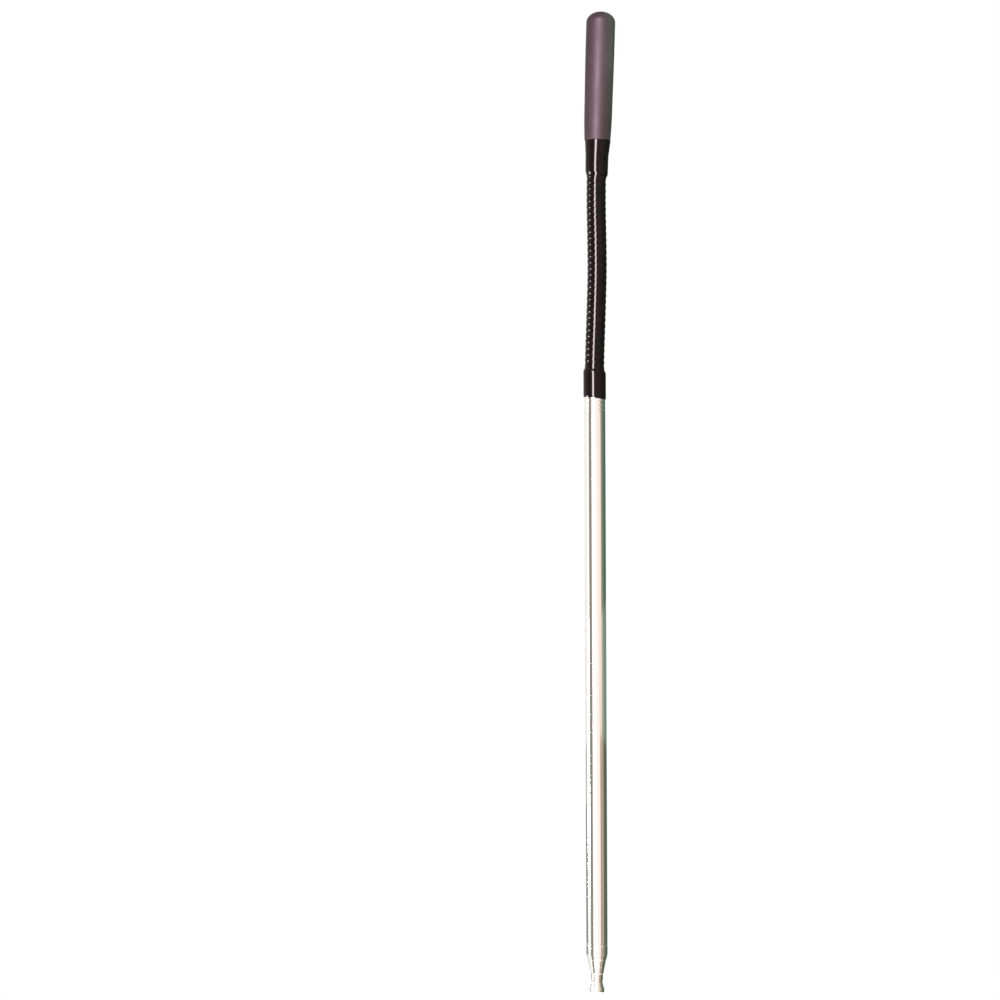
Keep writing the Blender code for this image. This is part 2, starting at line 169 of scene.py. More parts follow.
# Grip: radius against height down its side
GRIP_SIDE = (
    (0.5126, 0.00785), (0.5160, 0.0080), (0.5240, 0.0083),
    (0.5380, 0.00845), (0.5660, 0.0087), (0.5828, 0.0087),
)
GRIP_CROWN_FLAT = 0.0003
GRIP_EDGE = 0.0005
BORE_CHAMFER = 0.0002
GRIP_BORE = 0.0053
CORE_RADIUS = 0.0051
CORE_BORE = 0.0039


# What the frame says

FACE_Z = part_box("magnet")[0].z


def height_of(z):
    return z - FACE_Z


def node_heights(node):
    low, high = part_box(node)
    return height_of(low.z), height_of(high.z)


TUBE_X = sum(corner.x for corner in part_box("outer_tube")) / 2
NOSE = tuple(node_heights(node)[0] for node in ("outer_tube", "middle_tube_1", "middle_tube_2", "tip_tube"))
BASE = tuple(node_heights(node)[1] for node in ("outer_tube", "middle_tube_1", "middle_tube_2", "tip_tube"))
GRIP_TOP = node_heights("grip")[1]
NECK_CHAIN = ["handle"] + [f"neck_link_{number:02d}" for number in range(1, 12)] + ["tube"]


def hinge_place(upper, lower):
    joints = frame["joints"]
    hinge = next(joint for joint in joints if joint["parent"] == upper and joint["child"] == lower)
    return Vector(hinge["pos_m"])


HINGE_PLACES = [hinge_place(upper, lower) for upper, lower in zip(NECK_CHAIN, NECK_CHAIN[1:])]
HINGE_STEP = (HINGE_PLACES[0].z - HINGE_PLACES[-1].z) / (len(HINGE_PLACES) - 1)
NECK_TOP = height_of(HINGE_PLACES[0].z) + HINGE_STEP / 2
NECK_BOTTOM = height_of(HINGE_PLACES[-1].z) - HINGE_STEP / 2


def grip_slope():
    """The grip's lean: its axis goes through the origin and the middle of its corner points."""
    vertices = frame["nodes"]["grip"].data.vertices
    corners = {tuple(round(value, 6) for value in vertex.co) for vertex in vertices}
    middle = np.mean(list(corners), axis=0)
    return float(middle[0] / middle[2])


GRIP_SLOPE = grip_slope()


# The line that the whole tool follows

def curve_through(knots, at, first_slope=0.0, last_slope=0.0, swings=False):
    """(value, slope) at each height of a smooth curve through (height, value) knots. Only a curve
    that swings goes beyond its knots."""
    knots = np.array(sorted(knots))
    heights, values = knots[:, 0], knots[:, 1]
    slopes = np.empty(len(knots))
    slopes[1:-1] = (values[2:] - values[:-2]) / (heights[2:] - heights[:-2])
    if not swings:
        rises = np.diff(values) / np.diff(heights)
        gentle = 2 * np.minimum(np.abs(rises[1:]), np.abs(rises[:-1]))
        turns_back = rises[1:] * rises[:-1] <= 0
        slopes[1:-1] = np.where(turns_back, 0.0, np.clip(slopes[1:-1], -gentle, gentle))
    slopes[0], slopes[-1] = first_slope, last_slope
    at = np.asarray(at, float)
    inside = np.clip(at, heights[0], heights[-1])
    index = np.clip(np.searchsorted(heights, inside, side="right") - 1, 0, len(knots) - 2)
    span = heights[index + 1] - heights[index]
    t = (inside - heights[index]) / span
    a, b = slopes[index] * span, slopes[index + 1] * span
    low, high = values[index], values[index + 1]
    value = low + a * t + (3 * (high - low) - 2 * a - b) * t**2 + (a + b - 2 * (high - low)) * t**3
    slope = (a + 2 * (3 * (high - low) - 2 * a - b) * t + 3 * (a + b - 2 * (high - low)) * t**2) / span
    return value + (at - inside) * slope, slope


SPINE = [(NECK_BOTTOM, 0.0)]
SPINE += [(height_of(place.z), place.x - TUBE_X) for place in HINGE_PLACES]
SPINE += [(NECK_TOP, GRIP_SLOPE * (NECK_TOP + FACE_Z) - TUBE_X)]


def on_tool(radius, angle, height):
    """Points at a radius, angle and height of the tool. Each may be an array."""
    radius, angle, height = np.broadcast_arrays(radius, angle, height)
    offset, slope = curve_through(SPINE, height, 0.0, GRIP_SLOPE, swings=True)
    lean = np.arctan(slope)
    across = radius * np.cos(angle)
    x = TUBE_X + offset + across * np.cos(lean)
    z = FACE_Z + height - across * np.sin(lean)
    return np.stack([x, radius * np.sin(angle), z], axis=-1)


# Making meshes

def skin(name, grid, material, round_rows, round_columns, sharp=38):
    """A closed mesh over a grid of points.
    Rows or columns that don't go round are capped or on the axis."""
    rows, columns = grid.shape[:2]
    across = rows if round_rows else rows - 1
    along = columns if round_columns else columns - 1
    i, j = np.meshgrid(np.arange(across), np.arange(along), indexing="ij")
    k, m = (i + 1) % rows, (j + 1) % columns
    corners = [i * columns + j, k * columns + j, k * columns + m, i * columns + m]
    faces = np.stack(corners, axis=-1).reshape(-1, 4).tolist()
    if not round_rows:
        faces.append(list(range(columns)))
        faces.append(list(range((rows - 1) * columns, rows * columns)))
    mesh = bpy.data.meshes.new(name)
    mesh.from_pydata(grid.reshape(-1, 3).tolist(), [], faces)
    form = bmesh.new()
    form.from_mesh(mesh)
    bmesh.ops.remove_doubles(form, verts=form.verts, dist=1e-7)
    bmesh.ops.recalc_face_normals(form, faces=form.faces)
    form.to_mesh(mesh)
    form.free()
    mesh.materials.append(material)
    mesh.shade_smooth()
    mesh.set_sharp_from_angle(angle=math.radians(sharp))
    piece = bpy.data.objects.new(name, mesh)
    bpy.context.scene.collection.objects.link(piece)
    return piece


def turned(name, outline, material, sides=SIDES):
    """A turned piece from (radius, height) points. One that starts and ends on the axis has no bore.
    A radius or height may also be an array with a value for each side."""
    angle = np.linspace(0, 2 * math.pi, sides, endpoint=False)
    radius = np.stack([np.broadcast_to(point[0], sides) for point in outline], axis=1)
    height = np.stack([np.broadcast_to(point[1], sides) for point in outline], axis=1)
    has_bore = float(radius[0].max()) > 0 and float(np.min(radius)) > 0
    return skin(name, on_tool(radius, angle[:, None], height), material, True, has_bore)


def rounded(outline, size=EDGE, steps=4):
    """The outline with each corner that turns by more than 25 degrees made round. A point just before
    and after each keeps the shading of the faces beside it flat."""
    bored = outline[0][0] > 0
    made = []
    for n, (radius, height) in enumerate(outline):
        here = Vector((radius, height))
        if not bored and n in (0, len(outline) - 1):
            made.append((radius, height))
            continue
        before = Vector(outline[n - 1]) - here
        after = Vector(outline[(n + 1) % len(outline)]) - here
        if before.angle(after) > math.radians(155):
            made.append((radius, height))
            continue
        start = here + before.normalized() * min(size, before.length * 0.45)
        end = here + after.normalized() * min(size, after.length * 0.45)
        just_before = here + before.normalized() * min(size * 1.6, before.length * 0.48)
        just_after = here + after.normalized() * min(size * 1.6, after.length * 0.48)
        made.append((just_before.x, just_before.y))
        for step in range(steps + 1):
            t = step / steps
            point = start * (1 - t) ** 2 + here * 2 * t * (1 - t) + end * t**2
            made.append((point.x, point.y))
        made.append((just_after.x, just_after.y))
    return made


def arc(centre, radius, start, end, steps):
    """Points along an arc in an outline, with angles in degrees from the outward direction."""
    points = []
    for n in range(steps + 1):
        angle = math.radians(start + (end - start) * n / steps)
        points.append((centre[0] + radius * math.cos(angle), centre[1] + radius * math.sin(angle)))
    return points


def finish_piece(piece, nodes=(), body=None):
    if body:
        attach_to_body(piece, body)
    if nodes:
        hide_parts(*nodes)
    return piece


# Materials

def new_material(name, colour, metallic, roughness, **others):
    """A Principled material. Others are more of the shader's inputs, by name with _ for a space."""
    made = bpy.data.materials.new(name)
    made.use_nodes = True
    made.diffuse_color = (*colour, 1.0)
    shader = made.node_tree.nodes["Principled BSDF"]
    shader.inputs["Base Color"].default_value = (*colour, 1.0)
    shader.inputs["Metallic"].default_value = metallic
    shader.inputs["Roughness"].default_value = roughness
    for words, value in others.items():
        shader.inputs[words.replace("_", " ")].default_value = value
    return made


def add_node(made, kind, **settings):
    node = made.node_tree.nodes.new(kind)
    for key, value in settings.items():
        if key in node.inputs:
            node.inputs[key].default_value = value
        else:
            setattr(node, key, value)
    return node


def join(made, source, target):
    made.node_tree.links.new(source, target)


def noise(made, scale, stretch=(1.0, 1.0, 1.0), detail=3.0, rough=0.55):
    """Noise in the tool's own metres. A stretch under 1 draws the pattern out along that axis."""
    place = add_node(made, "ShaderNodeTexCoord")
    mapping = add_node(made, "ShaderNodeMapping")
    mapping.inputs["Scale"].default_value = [scale * share for share in stretch]
    texture = add_node(made, "ShaderNodeTexNoise")
    texture.inputs["Scale"].default_value = 1.0
    texture.inputs["Detail"].default_value = detail
    texture.inputs["Roughness"].default_value = rough
    join(made, place.outputs["Object"], mapping.inputs["Vector"])
    join(made, mapping.outputs["Vector"], texture.inputs["Vector"])
    return texture.outputs["Fac"]


def spread(made, source, low, high, start=0.3, end=0.7):
    """Map a noise's middle range onto low to high."""
    node = add_node(made, "ShaderNodeMapRange")
    node.inputs["From Min"].default_value = start
    node.inputs["From Max"].default_value = end
    node.inputs["To Min"].default_value = low
    node.inputs["To Max"].default_value = high
    join(made, source, node.inputs["Value"])
    return node.outputs["Result"]


def shader_of(made):
    return made.node_tree.nodes["Principled BSDF"]


def vary_roughness(made, source, low, high):
    join(made, spread(made, source, low, high), shader_of(made).inputs["Roughness"])


def vary_colour(made, source, first, second):
    ramp = add_node(made, "ShaderNodeValToRGB")
    ramp.color_ramp.elements[0].position = 0.35
    ramp.color_ramp.elements[1].position = 0.65
    ramp.color_ramp.elements[0].color = (*first, 1.0)
    ramp.color_ramp.elements[1].color = (*second, 1.0)
    join(made, source, ramp.inputs["Fac"])
    join(made, ramp.outputs["Color"], shader_of(made).inputs["Base Color"])


def add_bump(made, source, depth, strength=1.0, after=None):
    """A bump of that depth in metres, laid over an earlier one if after is its output."""
    node = add_node(made, "ShaderNodeBump")
    node.inputs["Strength"].default_value = strength
    node.inputs["Distance"].default_value = depth
    join(made, source, node.inputs["Height"])
    if after:
        join(made, after, node.inputs["Normal"])
    join(made, node.outputs["Normal"], shader_of(made).inputs["Normal"])
    return node.outputs["Normal"]


def rubber_material():
    """Soft-touch plum rubber: fine grain, slight mottling and handling marks."""
    made = new_material("grip_rubber", (0.0063, 0.0037, 0.0043), 0.0, 0.55, Specular_IOR_Level=0.17)
    shader_of(made).inputs["Specular Tint"].default_value = (1.0, 0.72, 0.86, 1.0)
    vary_colour(made, noise(made, 90, (1, 1, 0.35)), (0.0055, 0.0032, 0.0037), (0.0072, 0.0043, 0.0050))
    vary_roughness(made, noise(made, 160, (1, 1, 0.5)), 0.48, 0.60)
    grain = add_bump(made, noise(made, 5200, detail=2.0), 0.00002, 0.35)
    add_bump(made, noise(made, 420, (1, 1, 0.4)), 0.00006, 0.25, grain)
    return made


def vinyl_material():
    """Glossy black shrunk tubing, with the slight unevenness of heat-shrunk plastic."""
    made = new_material("sleeve_vinyl", (0.0012, 0.0006, 0.0008), 0.0, 0.1, Specular_IOR_Level=0.11)
    shader_of(made).inputs["Specular Tint"].default_value = (1.0, 0.90, 0.93, 1.0)
    vary_colour(made, noise(made, 260), (0.0009, 0.0005, 0.0006), (0.0016, 0.0008, 0.0010))
    vary_roughness(made, noise(made, 300), 0.07, 0.10)
    add_bump(made, noise(made, 260, (1, 1, 0.3), detail=1.0), 0.00002, 0.08)
    return made


def plated_material(name, colour, low, high, streaks=0.1):
    """Bright plating: a mirror with faint polishing lines along the tube and soft hazy patches."""
    made = new_material(name, colour, 1.0, low)
    vary_roughness(made, noise(made, 140, (1, 1, 0.12)), low, high)
    darker = [channel * 0.965 for channel in colour]
    vary_colour(made, noise(made, 60, (1, 1, 0.2)), darker, colour)
    lines = add_bump(made, noise(made, 2600, (1, 1, 0.015)), 0.000004, streaks)
    add_bump(made, noise(made, 170, (1, 1, 0.25)), 0.00003, 0.06, lines)
    return made


def turned_material(name, colour, low, high, pitch=0.00012):
    """Machined metal: fine turning rings round the axis over a blotchy tone."""
    made = new_material(name, colour, 1.0, low)
    vary_roughness(made, noise(made, 900), low, high)
    darker = [channel * 0.8 for channel in colour]
    vary_colour(made, noise(made, 500), darker, colour)
    add_bump(made, noise(made, 1 / pitch, (0.02, 0.02, 1)), 0.000012, 0.35)
    return made


RUBBER = rubber_material()
VINYL = vinyl_material()
CHROME = plated_material("chrome", (0.86, 0.85, 0.82), 0.04, 0.085)
NICKEL = plated_material("nickel", (0.68, 0.66, 0.58), 0.14, 0.21, streaks=0.06)
PLATE = turned_material("magnet_plate", (0.66, 0.65, 0.62), 0.16, 0.28)
STEEL = turned_material("turned_steel", (0.54, 0.54, 0.55), 0.26, 0.42)
WIRE = turned_material("spring_steel", (0.42, 0.42, 0.44), 0.24, 0.40, pitch=0.0005)
BRASS = turned_material("brass", (0.74, 0.54, 0.25), 0.20, 0.34)
BRONZE = turned_material("bronze", (0.62, 0.40, 0.23), 0.24, 0.38)


# Tip

def make_magnet():
    outline = [(0.0, MAGNET_LENGTH), (MAGNET_RADIUS, MAGNET_LENGTH), (MAGNET_RADIUS, 0.0), (0.0, 0.0)]
    piece = turned("magnet_disc", rounded(outline, MAGNET_EDGE), PLATE)
    finish_piece(piece, ["magnet"], "section_3")


def make_cup():
    pocket = MAGNET_RADIUS + PRESS_GAP
    seat = RADIUS[3] + PRESS_GAP
    hole = STUD_RADIUS + PRESS_GAP
    heights = np.linspace(CUP_SIDE[-1][0], CUP_SIDE[0][0], 26)
    waist = curve_through(CUP_SIDE, heights)[0]
    outline = [(CUP_SHANK - EDGE, CUP_TOP), (CUP_SHANK, CUP_TOP - EDGE)]
    outline += list(zip(waist.tolist(), heights.tolist()))
    outline += arc((CUP_RIM - CUP_RIM_ROUND, CUP_RIM_ROUND), CUP_RIM_ROUND, 0, -90, 8)
    inside = [(pocket + POCKET_CHAMFER[0], 0.0), (pocket, POCKET_CHAMFER[1])]
    inside += [(pocket, CUP_WEB[0]), (hole, CUP_WEB[0])]
    inside += [(hole, CUP_WEB[1]), (seat, CUP_WEB[1]), (seat, CUP_TOP)]
    piece = turned("cup_shell", outline + inside, NICKEL)
    finish_piece(piece, ["magnet_cup"], "section_3")


def make_plug():
    plug = BORE[3] - PRESS_GAP
    shoulder = CUP_WEB[1] + FACE_GAP
    outline = [(0.0, PLUG_TOP), (plug, PLUG_TOP), (plug, shoulder), (STUD_RADIUS, shoulder)]
    outline += [(STUD_RADIUS, CUP_WEB[0]), (0.0, CUP_WEB[0])]
    piece = turned("plug_and_stud", rounded(outline), STEEL)
    finish_piece(piece, ["tip_plug"], "section_3")


# Telescoping tube

def groove(height, steps=10):
    """A rolled groove with soft shoulders, down the outer side of the outer tube."""
    points = []
    for n in range(steps + 1):
        t = 2 * n / steps - 1
        depth = GROOVE_DEPTH * (1 + math.cos(math.pi * t)) / 2
        points.append((RADIUS[0] - depth, height - t * GROOVE_HALF))
    return points


def mouth(section):
    """The narrow mouth that the next section runs in, from the lip up the inside."""
    lip_bore = RADIUS[section + 1] + RUN_GAP
    ledge = NOSE[section] + LEDGE_RISE
    outline = [(LIP_RADIUS[section], NOSE[section]), (lip_bore, NOSE[section])]
    outline += [(lip_bore, ledge - MOUTH_TAPER), (BORE[section], ledge), (BORE[section], BASE[section])]
    return outline


def bead(section):
    """The rolled bead that stops a section at its full reach."""
    crest = BORE[section - 1] - PRESS_GAP
    middle = BASE[section] - BEAD_DROP
    points = []
    for n in range(9):
        t = 2 * n / 8 - 1
        lift = (crest - RADIUS[section]) * (1 - t**4)
        points.append((RADIUS[section] + lift, middle - t * BEAD_HALF))
    return points


def make_outer_tube():
    wall, lip = RADIUS[0], LIP_RADIUS[0]
    outline = [(wall, BASE[0])]
    for height in CRIMP_HEIGHTS + (RING_HEIGHT,):
        outline += groove(height)
    for t in np.linspace(0, 1, 13).tolist():
        inset = (wall - lip) * t**NOSE_ROUND
        outline.append((wall - inset, NOSE[0] + NOSE_LENGTH - (NOSE_LENGTH - EDGE) * t))
    lip_starts = 2               # the nose ends where the lip's rounding starts
    outline += rounded(mouth(0))[lip_starts:]
    piece = turned("chrome_outer_tube", outline, CHROME)
    finish_piece(piece, ["outer_tube"], "tube")


def make_middle_tube(section):
    collar_top = NOSE[section - 1] - SEAM
    outline = [(RADIUS[section], BASE[section])]
    outline += bead(section)
    outline += [(RADIUS[section], collar_top), (COLLAR_RADIUS[section], collar_top)]
    outline += mouth(section)
    piece = turned(f"chrome_middle_tube_{section}", rounded(outline), CHROME)
    finish_piece(piece, [f"middle_tube_{section}"], f"section_{section}")


def make_tip_tube():
    outline = [(RADIUS[3], BASE[3])]
    outline += bead(3)
    outline += [(RADIUS[3], NOSE[3]), (BORE[3], NOSE[3]), (BORE[3], BASE[3])]
    piece = turned("chrome_tip_tube", rounded(outline), CHROME)
    finish_piece(piece, ["tip_tube"], "section_3")


def make_bush(section):
    flange = BORE[section - 1] - RUN_GAP
    spigot = BORE[section] - PRESS_GAP
    hole = BORE[section] - BUSH_WALL
    seat = BASE[section] + FACE_GAP
    outline = [(flange, seat + BUSH_FLANGE), (flange, seat), (spigot, seat)]
    outline += [(spigot, BASE[section] - BUSH_SPIGOT), (hole, BASE[section] - BUSH_SPIGOT)]
    outline.append((hole, seat + BUSH_FLANGE))
    piece = turned(f"brass_bush_{section}", rounded(outline), BRASS)
    finish_piece(piece, [f"stop_bush_{section}"], f"section_{section}")


def make_friction_spring(section):
    """A split bronze sleeve with rolled-in ends, between a section and the bore around it."""
    inner = RADIUS[section] + PRESS_GAP
    outer = BORE[section - 1] - PRESS_GAP
    low = BASE[section] - BEAD_DROP + BEAD_HALF + FACE_GAP
    high = BASE[section] - FACE_GAP
    outline = rounded([(outer, high), (outer, low), (inner, low), (inner, high)], SPRING_EDGE)
    ring = np.array(outline)
    angles = np.linspace(SPRING_SLOT, 2 * math.pi, SIDES)
    grid = on_tool(ring[None, :, 0], angles[:, None], ring[None, :, 1])
    piece = skin(f"bronze_friction_spring_{section}", grid, BRONZE, False, True)
    finish_piece(piece, [f"friction_spring_{section}"], f"slider_{section}")


# Gooseneck

def links():
    """Each stretch of the neck: its number, top and bottom height, and the bodies at its ends."""
    stretches = [(0, None, NECK_TOP, ("handle",))]
    for number, bodies in enumerate(zip(NECK_CHAIN, NECK_CHAIN[1:]), 1):
        top = NECK_TOP - (number - 1) * HINGE_STEP
        stretches.append((number, top, top - HINGE_STEP, bodies))
    stretches.append((len(NECK_CHAIN), NECK_BOTTOM, None, ("tube",)))
    return stretches


def attach(piece, top, bottom, bodies):
    """Ride on the one body, or, between two, stay where it was made, on no body."""
    if len(bodies) == 1:
        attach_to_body(piece, bodies[0])
        return
    start, end = on_tool(0.0, 0.0, np.array([top, bottom])).tolist()
    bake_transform(piece)


def coil(name, section, low, high, phase_height, material):
    """A stretch of wire coiled round the axis. The section has (radius, rise) points."""
    turns = (high - low) / COIL_PITCH
    heights = np.linspace(low, high, max(2, math.ceil(turns * WIRE_STEPS_PER_TURN)))
    angles = 2 * math.pi * (heights - phase_height) / COIL_PITCH
    ring = np.array(section)
    grid = on_tool(ring[None, :, 0], angles[:, None], heights[:, None] + ring[None, :, 1])
    return skin(name, grid, material, False, True)


def wire_section():
    return arc((WIRE_COIL_RADIUS, 0.0), WIRE_RADIUS, 0, 360 - 360 / WIRE_SIDES, WIRE_SIDES - 1)


def wedge_section():
    corners = [(WEDGE_OUTER, WEDGE_HALF), (WEDGE_OUTER, -WEDGE_HALF), (WEDGE_INNER, 0.0)]
    return rounded(corners, WEDGE_EDGE, 3)


def make_wires(number, top, bottom, bodies):
    """A stretch of the gooseneck's round inner wire and wedge-shaped outer wire."""
    high = (COIL_TOP if top is None else top) - (WIRE_RADIUS if top is None else 0)
    low = (COIL_BOTTOM if bottom is None else bottom) + (WIRE_RADIUS if bottom is None else 0)
    first = COIL_BOTTOM + WIRE_RADIUS
    inner = coil(f"gooseneck_round_wire_{number:02d}", wire_section(), low, high, first, WIRE)
    outer = coil(
        f"gooseneck_wedge_wire_{number:02d}", wedge_section(), low, high, first + COIL_PITCH / 2, WIRE
    )
    ends = (COIL_TOP if top is None else top, COIL_BOTTOM if bottom is None else bottom)
    for piece in (inner, outer):
        attach(piece, *ends, bodies)
        finish_piece(piece)
    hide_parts("neck_spring")
    if number < len(NECK_CHAIN):
        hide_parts(f"neck_wedge_{number:02d}")


def rib_depth(angle, height):
    """How deep the sleeve lies in the crease between two turns, at arrays of angles and heights."""
    first = COIL_BOTTOM + WIRE_RADIUS
    turn = (height - first) / COIL_PITCH - angle / (2 * math.pi)
    off_crease = (turn - np.floor(turn) - 0.5) * COIL_PITCH
    crease = RIB_DEPTH * np.exp(-np.abs(off_crease) / RIB_CREASE)
    crown = RIB_CROWN * (2 * off_crease / COIL_PITCH) ** 2
    rise = np.clip((height - RIBS_BOTTOM) / RIB_FADE, 0, 1) * np.clip((RIBS_TOP - height) / RIB_FADE, 0, 1)
    return (crease + RIB_CROWN - crown) * rise


def sleeve_radius(angle, height):
    """The steps at the sleeve's ends lie lower on the right, as its cut edge does."""
    beyond = np.maximum(SLANT_FREE[0] - height, height - SLANT_FREE[1])
    level = height + CUT_SLANT * np.cos(angle) * np.clip(beyond / SLANT_FADE, 0, 1)
    left = curve_through(SLEEVE_LEFT, level, FOOT_FLARE, LEFT_FLARE)[0]
    right = curve_through(SLEEVE_RIGHT, level, FOOT_FLARE, RIGHT_FLARE)[0]
    share = (1 + np.cos(angle)) / 2
    return left * (1 - share) + right * share - rib_depth(angle, height)


def make_sleeve(number, top, bottom, bodies):
    """A stretch of the shrunk sleeve, outer skin and bore."""
    high = SLEEVE_LEFT[-1][0] if top is None else top
    low = SLEEVE_LEFT[0][0] if bottom is None else bottom
    rows = math.ceil((high - low) / COIL_PITCH * ROWS_PER_RIB)
    angle = np.linspace(0, 2 * math.pi, SLEEVE_SIDES, endpoint=False)
    outer = np.linspace(high, low, rows + 1)
    inner = np.linspace(low, high, rows // 4 + 1)
    height = np.concatenate([outer, inner])[None, :]
    near_cut = np.clip((NECK_BOTTOM - height) / (NECK_BOTTOM - SLEEVE_LEFT[0][0]), 0, 1)
    height = height - CUT_SLANT * np.cos(angle)[:, None] * near_cut
    outer_radius = sleeve_radius(angle[:, None], height[:, :len(outer)])
    inner_radius = np.broadcast_to(curve_through(SLEEVE_BORE, inner)[0], (SLEEVE_SIDES, len(inner)))
    radius = np.concatenate([outer_radius, inner_radius], axis=1)
    grid = on_tool(radius, angle[:, None], height)
    piece = skin(f"shrunk_sleeve_{number:02d}", grid, VINYL, True, True)
    attach(piece, top, bottom, bodies)
    finish_piece(piece, ["neck_sleeve"])


def make_lower_ferrule():
    spigot = BORE[0] - RUN_GAP
    low, high = node_heights("lower_ferrule")
    across, length = LOWER_COLLAR
    collar = high - length
    outline = [(across, high), (across, collar), (spigot, collar), (spigot, low), (HOLE_RADIUS, low)]
    outline += [(HOLE_RADIUS, SOCKET_FLOOR), (SOCKET_RADIUS, SOCKET_FLOOR), (SOCKET_RADIUS, high)]
    piece = turned("steel_lower_ferrule", rounded(outline), STEEL)
    finish_piece(piece, ["lower_ferrule"], "tube")


# Handle

def make_upper_ferrule():
    low, high = node_heights("upper_ferrule")
    mouth_radius, taper = UPPER_MOUTH
    outline = [(UPPER_NECK_RADIUS, high), (UPPER_NECK_RADIUS, UPPER_SHOULDER[1])]
    outline += [UPPER_SHOULDER, UPPER_BARREL]
    outline += [(UPPER_BARREL[0], low + taper), (mouth_radius, low)]
    outline += [(SOCKET_RADIUS, low), (SOCKET_RADIUS, SOCKET_ROOF)]
    outline += [(HOLE_RADIUS, SOCKET_ROOF), (HOLE_RADIUS, high)]
    piece = turned("steel_upper_ferrule", rounded(outline), STEEL)
    finish_piece(piece, ["upper_ferrule"], "handle")


def make_core():
    low, high = node_heights("handle_core")
    outline = [(CORE_RADIUS, high), (CORE_RADIUS, low), (CORE_BORE, low), (CORE_BORE, high)]
    piece = turned("steel_handle_core", rounded(outline), STEEL)
    finish_piece(piece, ["handle_core"], "handle")


def make_grip():
    dome_foot, top_radius = GRIP_SIDE[-1]
    low = node_heights("grip")[0]
    core_top = node_heights("handle_core")[1]
    outline = [(0.0, GRIP_TOP)]
    for across, up in arc((0.0, 0.0), 1.0, 90, 0, 24):
        radius = GRIP_CROWN_FLAT + (top_radius - GRIP_CROWN_FLAT) * across
        outline.append((radius, dome_foot + (GRIP_TOP - dome_foot) * up))
    heights = np.linspace(GRIP_SIDE[-1][0], GRIP_SIDE[0][0], 60)[1:]
    outline += list(zip(curve_through(GRIP_SIDE, heights)[0].tolist(), heights.tolist()))
    rim = (GRIP_SIDE[0][1] - GRIP_EDGE, low + GRIP_EDGE)
    outline += arc(rim, GRIP_EDGE, 0, -90, 6)
    outline += [(GRIP_BORE + BORE_CHAMFER, low), (GRIP_BORE, low + BORE_CHAMFER)]
    outline += [(GRIP_BORE, core_top + FACE_GAP)]
    outline += [(0.0, core_top + FACE_GAP)]
    piece = turned("rubber_grip", outline, RUBBER)
    finish_piece(piece, ["grip"], "handle")


make_magnet()
make_cup()
make_plug()
make_tip_tube()
make_middle_tube(2)
make_middle_tube(1)
make_outer_tube()
for section in (1, 2, 3):
    make_bush(section)
    make_friction_spring(section)
for stretch in links():
    make_wires(*stretch)
    make_sleeve(*stretch)
make_lower_ferrule()
make_upper_ferrule()
make_core()
make_grip()


# Camera, light and stage

CAMERA_AWAY = 1.4202
CAMERA_LEFT = 0.0572
CAMERA_HEIGHT = 0.2961
CAMERA_ROLL = math.radians(0.238)
MIDDLE_Z = FACE_Z + CAMERA_HEIGHT
CARD_RADIUS = 1.1
FLOOR_Z = FACE_Z - 0.9
CARD_FOOT = FLOOR_Z + 0.002
CARD_TOP = MIDDLE_Z + 1.3

# Heights that a card covers
TIERS = {
    "all": (CARD_FOOT, CARD_TOP),
    "upper": (MIDDLE_Z - 0.10, CARD_TOP),
    "middle": (MIDDLE_Z - 0.27, MIDDLE_Z - 0.10),
    "lower": (CARD_FOOT, MIDDLE_Z - 0.27),
    "dusk": (MIDDLE_Z - 0.34, MIDDLE_Z - 0.27),
    "dark": (MIDDLE_Z - 0.56, MIDDLE_Z - 0.34),
    "deep": (CARD_FOOT, MIDDLE_Z - 0.56),
}


def make_camera():
    data = bpy.data.cameras.new("camera")
    data.lens = 85
    data.sensor_width = 36
    camera = bpy.data.objects.new("camera", data)
    bpy.context.scene.collection.objects.link(camera)
    camera.location = (TUBE_X - CAMERA_LEFT, -CAMERA_AWAY, MIDDLE_Z)
    camera.rotation_euler = (math.pi / 2, CAMERA_ROLL, 0)
    bpy.context.scene.camera = camera


def glow_material(name, colour, strength):
    made = bpy.data.materials.new(name)
    made.use_nodes = True
    nodes = made.node_tree.nodes
    nodes.clear()
    glow = nodes.new("ShaderNodeEmission")
    glow.inputs["Color"].default_value = (*colour, 1.0)
    glow.inputs["Strength"].default_value = strength
    output = nodes.new("ShaderNodeOutputMaterial")
    made.node_tree.links.new(glow.outputs["Emission"], output.inputs["Surface"])
    return made


def make_card(name, start, end, colour, tier="all"):
    """An upright curved card round the tool, unseen by the camera. Angles are in degrees from the
    camera's side, to the right when positive."""
    low, high = TIERS[tier]
    steps = max(1, math.ceil(abs(end - start) / 5))
    points = []
    for n in range(steps + 1):
        angle = math.radians(start + (end - start) * n / steps)
        x, y = CARD_RADIUS * math.sin(angle), -CARD_RADIUS * math.cos(angle)
        points += [(TUBE_X + x, y, low), (TUBE_X + x, y, high)]
    faces = [(2 * n, 2 * n + 2, 2 * n + 3, 2 * n + 1) for n in range(steps)]
    mesh = bpy.data.meshes.new(name)
    mesh.from_pydata(points, [], faces)
    mesh.materials.append(glow_material(name, colour, 1.0))
    card = bpy.data.objects.new(name, mesh)
    bpy.context.scene.collection.objects.link(card)
    card.visible_camera = False
    card.visible_shadow = False
    return card


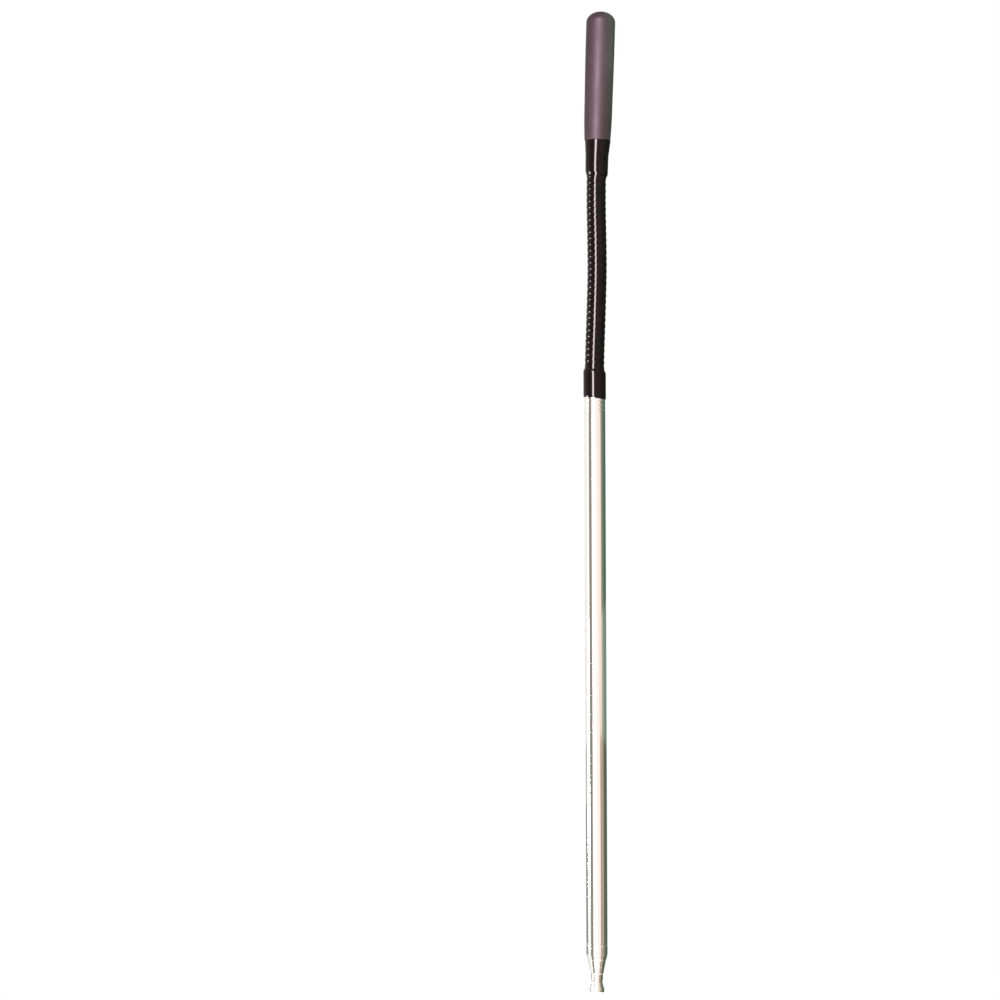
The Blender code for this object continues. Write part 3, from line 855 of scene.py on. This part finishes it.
def make_light(name, angle, elevation, away, size, radiance, colour=(1, 1, 1), target_z=MIDDLE_Z):
    """An area light that faces the tool, unseen by the camera."""
    data = bpy.data.lights.new(name, "AREA")
    data.shape = "RECTANGLE"
    data.size, data.size_y = size
    data.energy = radiance * math.pi * size[0] * size[1]
    data.color = colour
    light = bpy.data.objects.new(name, data)
    bpy.context.scene.collection.objects.link(light)
    a, e = math.radians(angle), math.radians(elevation)
    target = Vector((TUBE_X, 0, target_z))
    away_from = Vector((math.sin(a) * math.cos(e), -math.cos(a) * math.cos(e), math.sin(e)))
    light.location = target + away_from * away
    light.rotation_euler = away_from.to_track_quat("Z", "Y").to_euler()
    light.visible_camera = False
    return light


def make_world():
    world = bpy.data.worlds.new("studio")
    world.use_nodes = True
    background = world.node_tree.nodes["Background"]
    background.inputs["Color"].default_value = (1.0, 1.0, 1.0, 1.0)
    background.inputs["Strength"].default_value = 0.2
    bpy.context.scene.world = world


def make_backdrop():
    """A white shell far around the tool, which only the camera sees."""
    mesh = bpy.data.meshes.new("backdrop")
    form = bmesh.new()
    bmesh.ops.create_icosphere(form, subdivisions=4, radius=9.0)
    form.to_mesh(mesh)
    form.free()
    mesh.materials.append(glow_material("backdrop_white", (1.0, 1.0, 1.0), 1.0))
    shell = bpy.data.objects.new("backdrop", mesh)
    bpy.context.scene.collection.objects.link(shell)
    for ray in ("diffuse", "glossy", "transmission", "volume_scatter", "shadow"):
        setattr(shell, f"visible_{ray}", False)


def make_floor():
    """A plain pale floor, well below the hanging tool."""
    mesh = bpy.data.meshes.new("floor")
    form = bmesh.new()
    bmesh.ops.create_circle(form, cap_ends=True, segments=96, radius=2.2)
    form.to_mesh(mesh)
    form.free()
    made = new_material("pale_floor", (0.86, 0.86, 0.85), 0.0, 0.6)
    vary_colour(made, noise(made, 2.0), (0.84, 0.84, 0.83), (0.88, 0.88, 0.87))
    mesh.materials.append(made)
    floor = bpy.data.objects.new("floor", mesh)
    floor.location = (TUBE_X, 0, FLOOR_Z)
    bpy.context.scene.collection.objects.link(floor)


CARDS = (
    ("left_back_white", -175, -112, (1.0, 1.0, 0.98), "upper"),
    ("left_back_middle", -175, -112, (0.95, 0.95, 0.92), "middle"),
    ("left_back_dusk", -175, -112, (0.62, 0.62, 0.60), "dusk"),
    ("left_back_grey", -175, -112, (0.32, 0.32, 0.31), "dark"),
    ("left_back_deep", -175, -112, (0.90, 0.89, 0.84), "deep"),
    ("left_white", -112, -72, (1.15, 1.15, 1.12), "all"),
    ("grey_brown_flag", -72, -42, (0.31, 0.28, 0.25), "all"),
    ("white_front", -42, 8, (1.16, 1.14, 1.08), "all"),
    ("cream_front", 8, 36, (1.18, 1.07, 1.02), "all"),
    ("peach_upper", 36, 62, (1.12, 0.93, 0.86), "upper"),
    ("peach_middle", 36, 66, (1.05, 0.88, 0.80), "middle"),
    ("peach_lower", 36, 44, (1.12, 0.93, 0.86), "lower"),
    ("taupe_lower", 44, 84, (0.52, 0.40, 0.33), "lower"),
    ("khaki_upper", 62, 80, (0.38, 0.36, 0.29), "upper"),
    ("khaki_middle", 66, 84, (0.52, 0.50, 0.40), "middle"),
    ("olive_upper", 80, 106, (0.18, 0.22, 0.15), "upper"),
    ("olive_middle", 84, 110, (0.30, 0.34, 0.26), "middle"),
    ("olive_lower", 84, 110, (0.14, 0.17, 0.10), "lower"),
    ("green_upper", 106, 178, (0.08, 0.16, 0.115), "upper"),
    ("green_middle", 110, 178, (0.18, 0.28, 0.22), "middle"),
    ("green_lower", 110, 178, (0.10, 0.13, 0.09), "lower"),
)

make_camera()
make_world()
make_backdrop()
make_floor()
for row in CARDS:
    make_card(*row)
make_light("key_box", -18, 0, 1.0, (0.29, 2.3), 88, (1.0, 0.94, 0.96))
side_lamp = make_light("side_lamp", -92, -16, 1.0, (0.34, 0.34), 60)
side_lamp.visible_diffuse = False
green_fill = make_light("green_fill", 82, 12, 0.20, (0.08, 0.08), 310, (0.40, 1.0, 0.74), FACE_Z + GRIP_TOP)
green_fill.visible_glossy = False
back_fill = make_light("back_fill", 160, 10, 1.0, (0.5, 1.4), 42)
back_fill.visible_glossy = False
make_light("ceiling", 0, 89, 1.4, (2.2, 2.2), 0.8)
scene = bpy.context.scene
scene.view_settings.view_transform = "Standard"

bpy.context.view_layer.update()
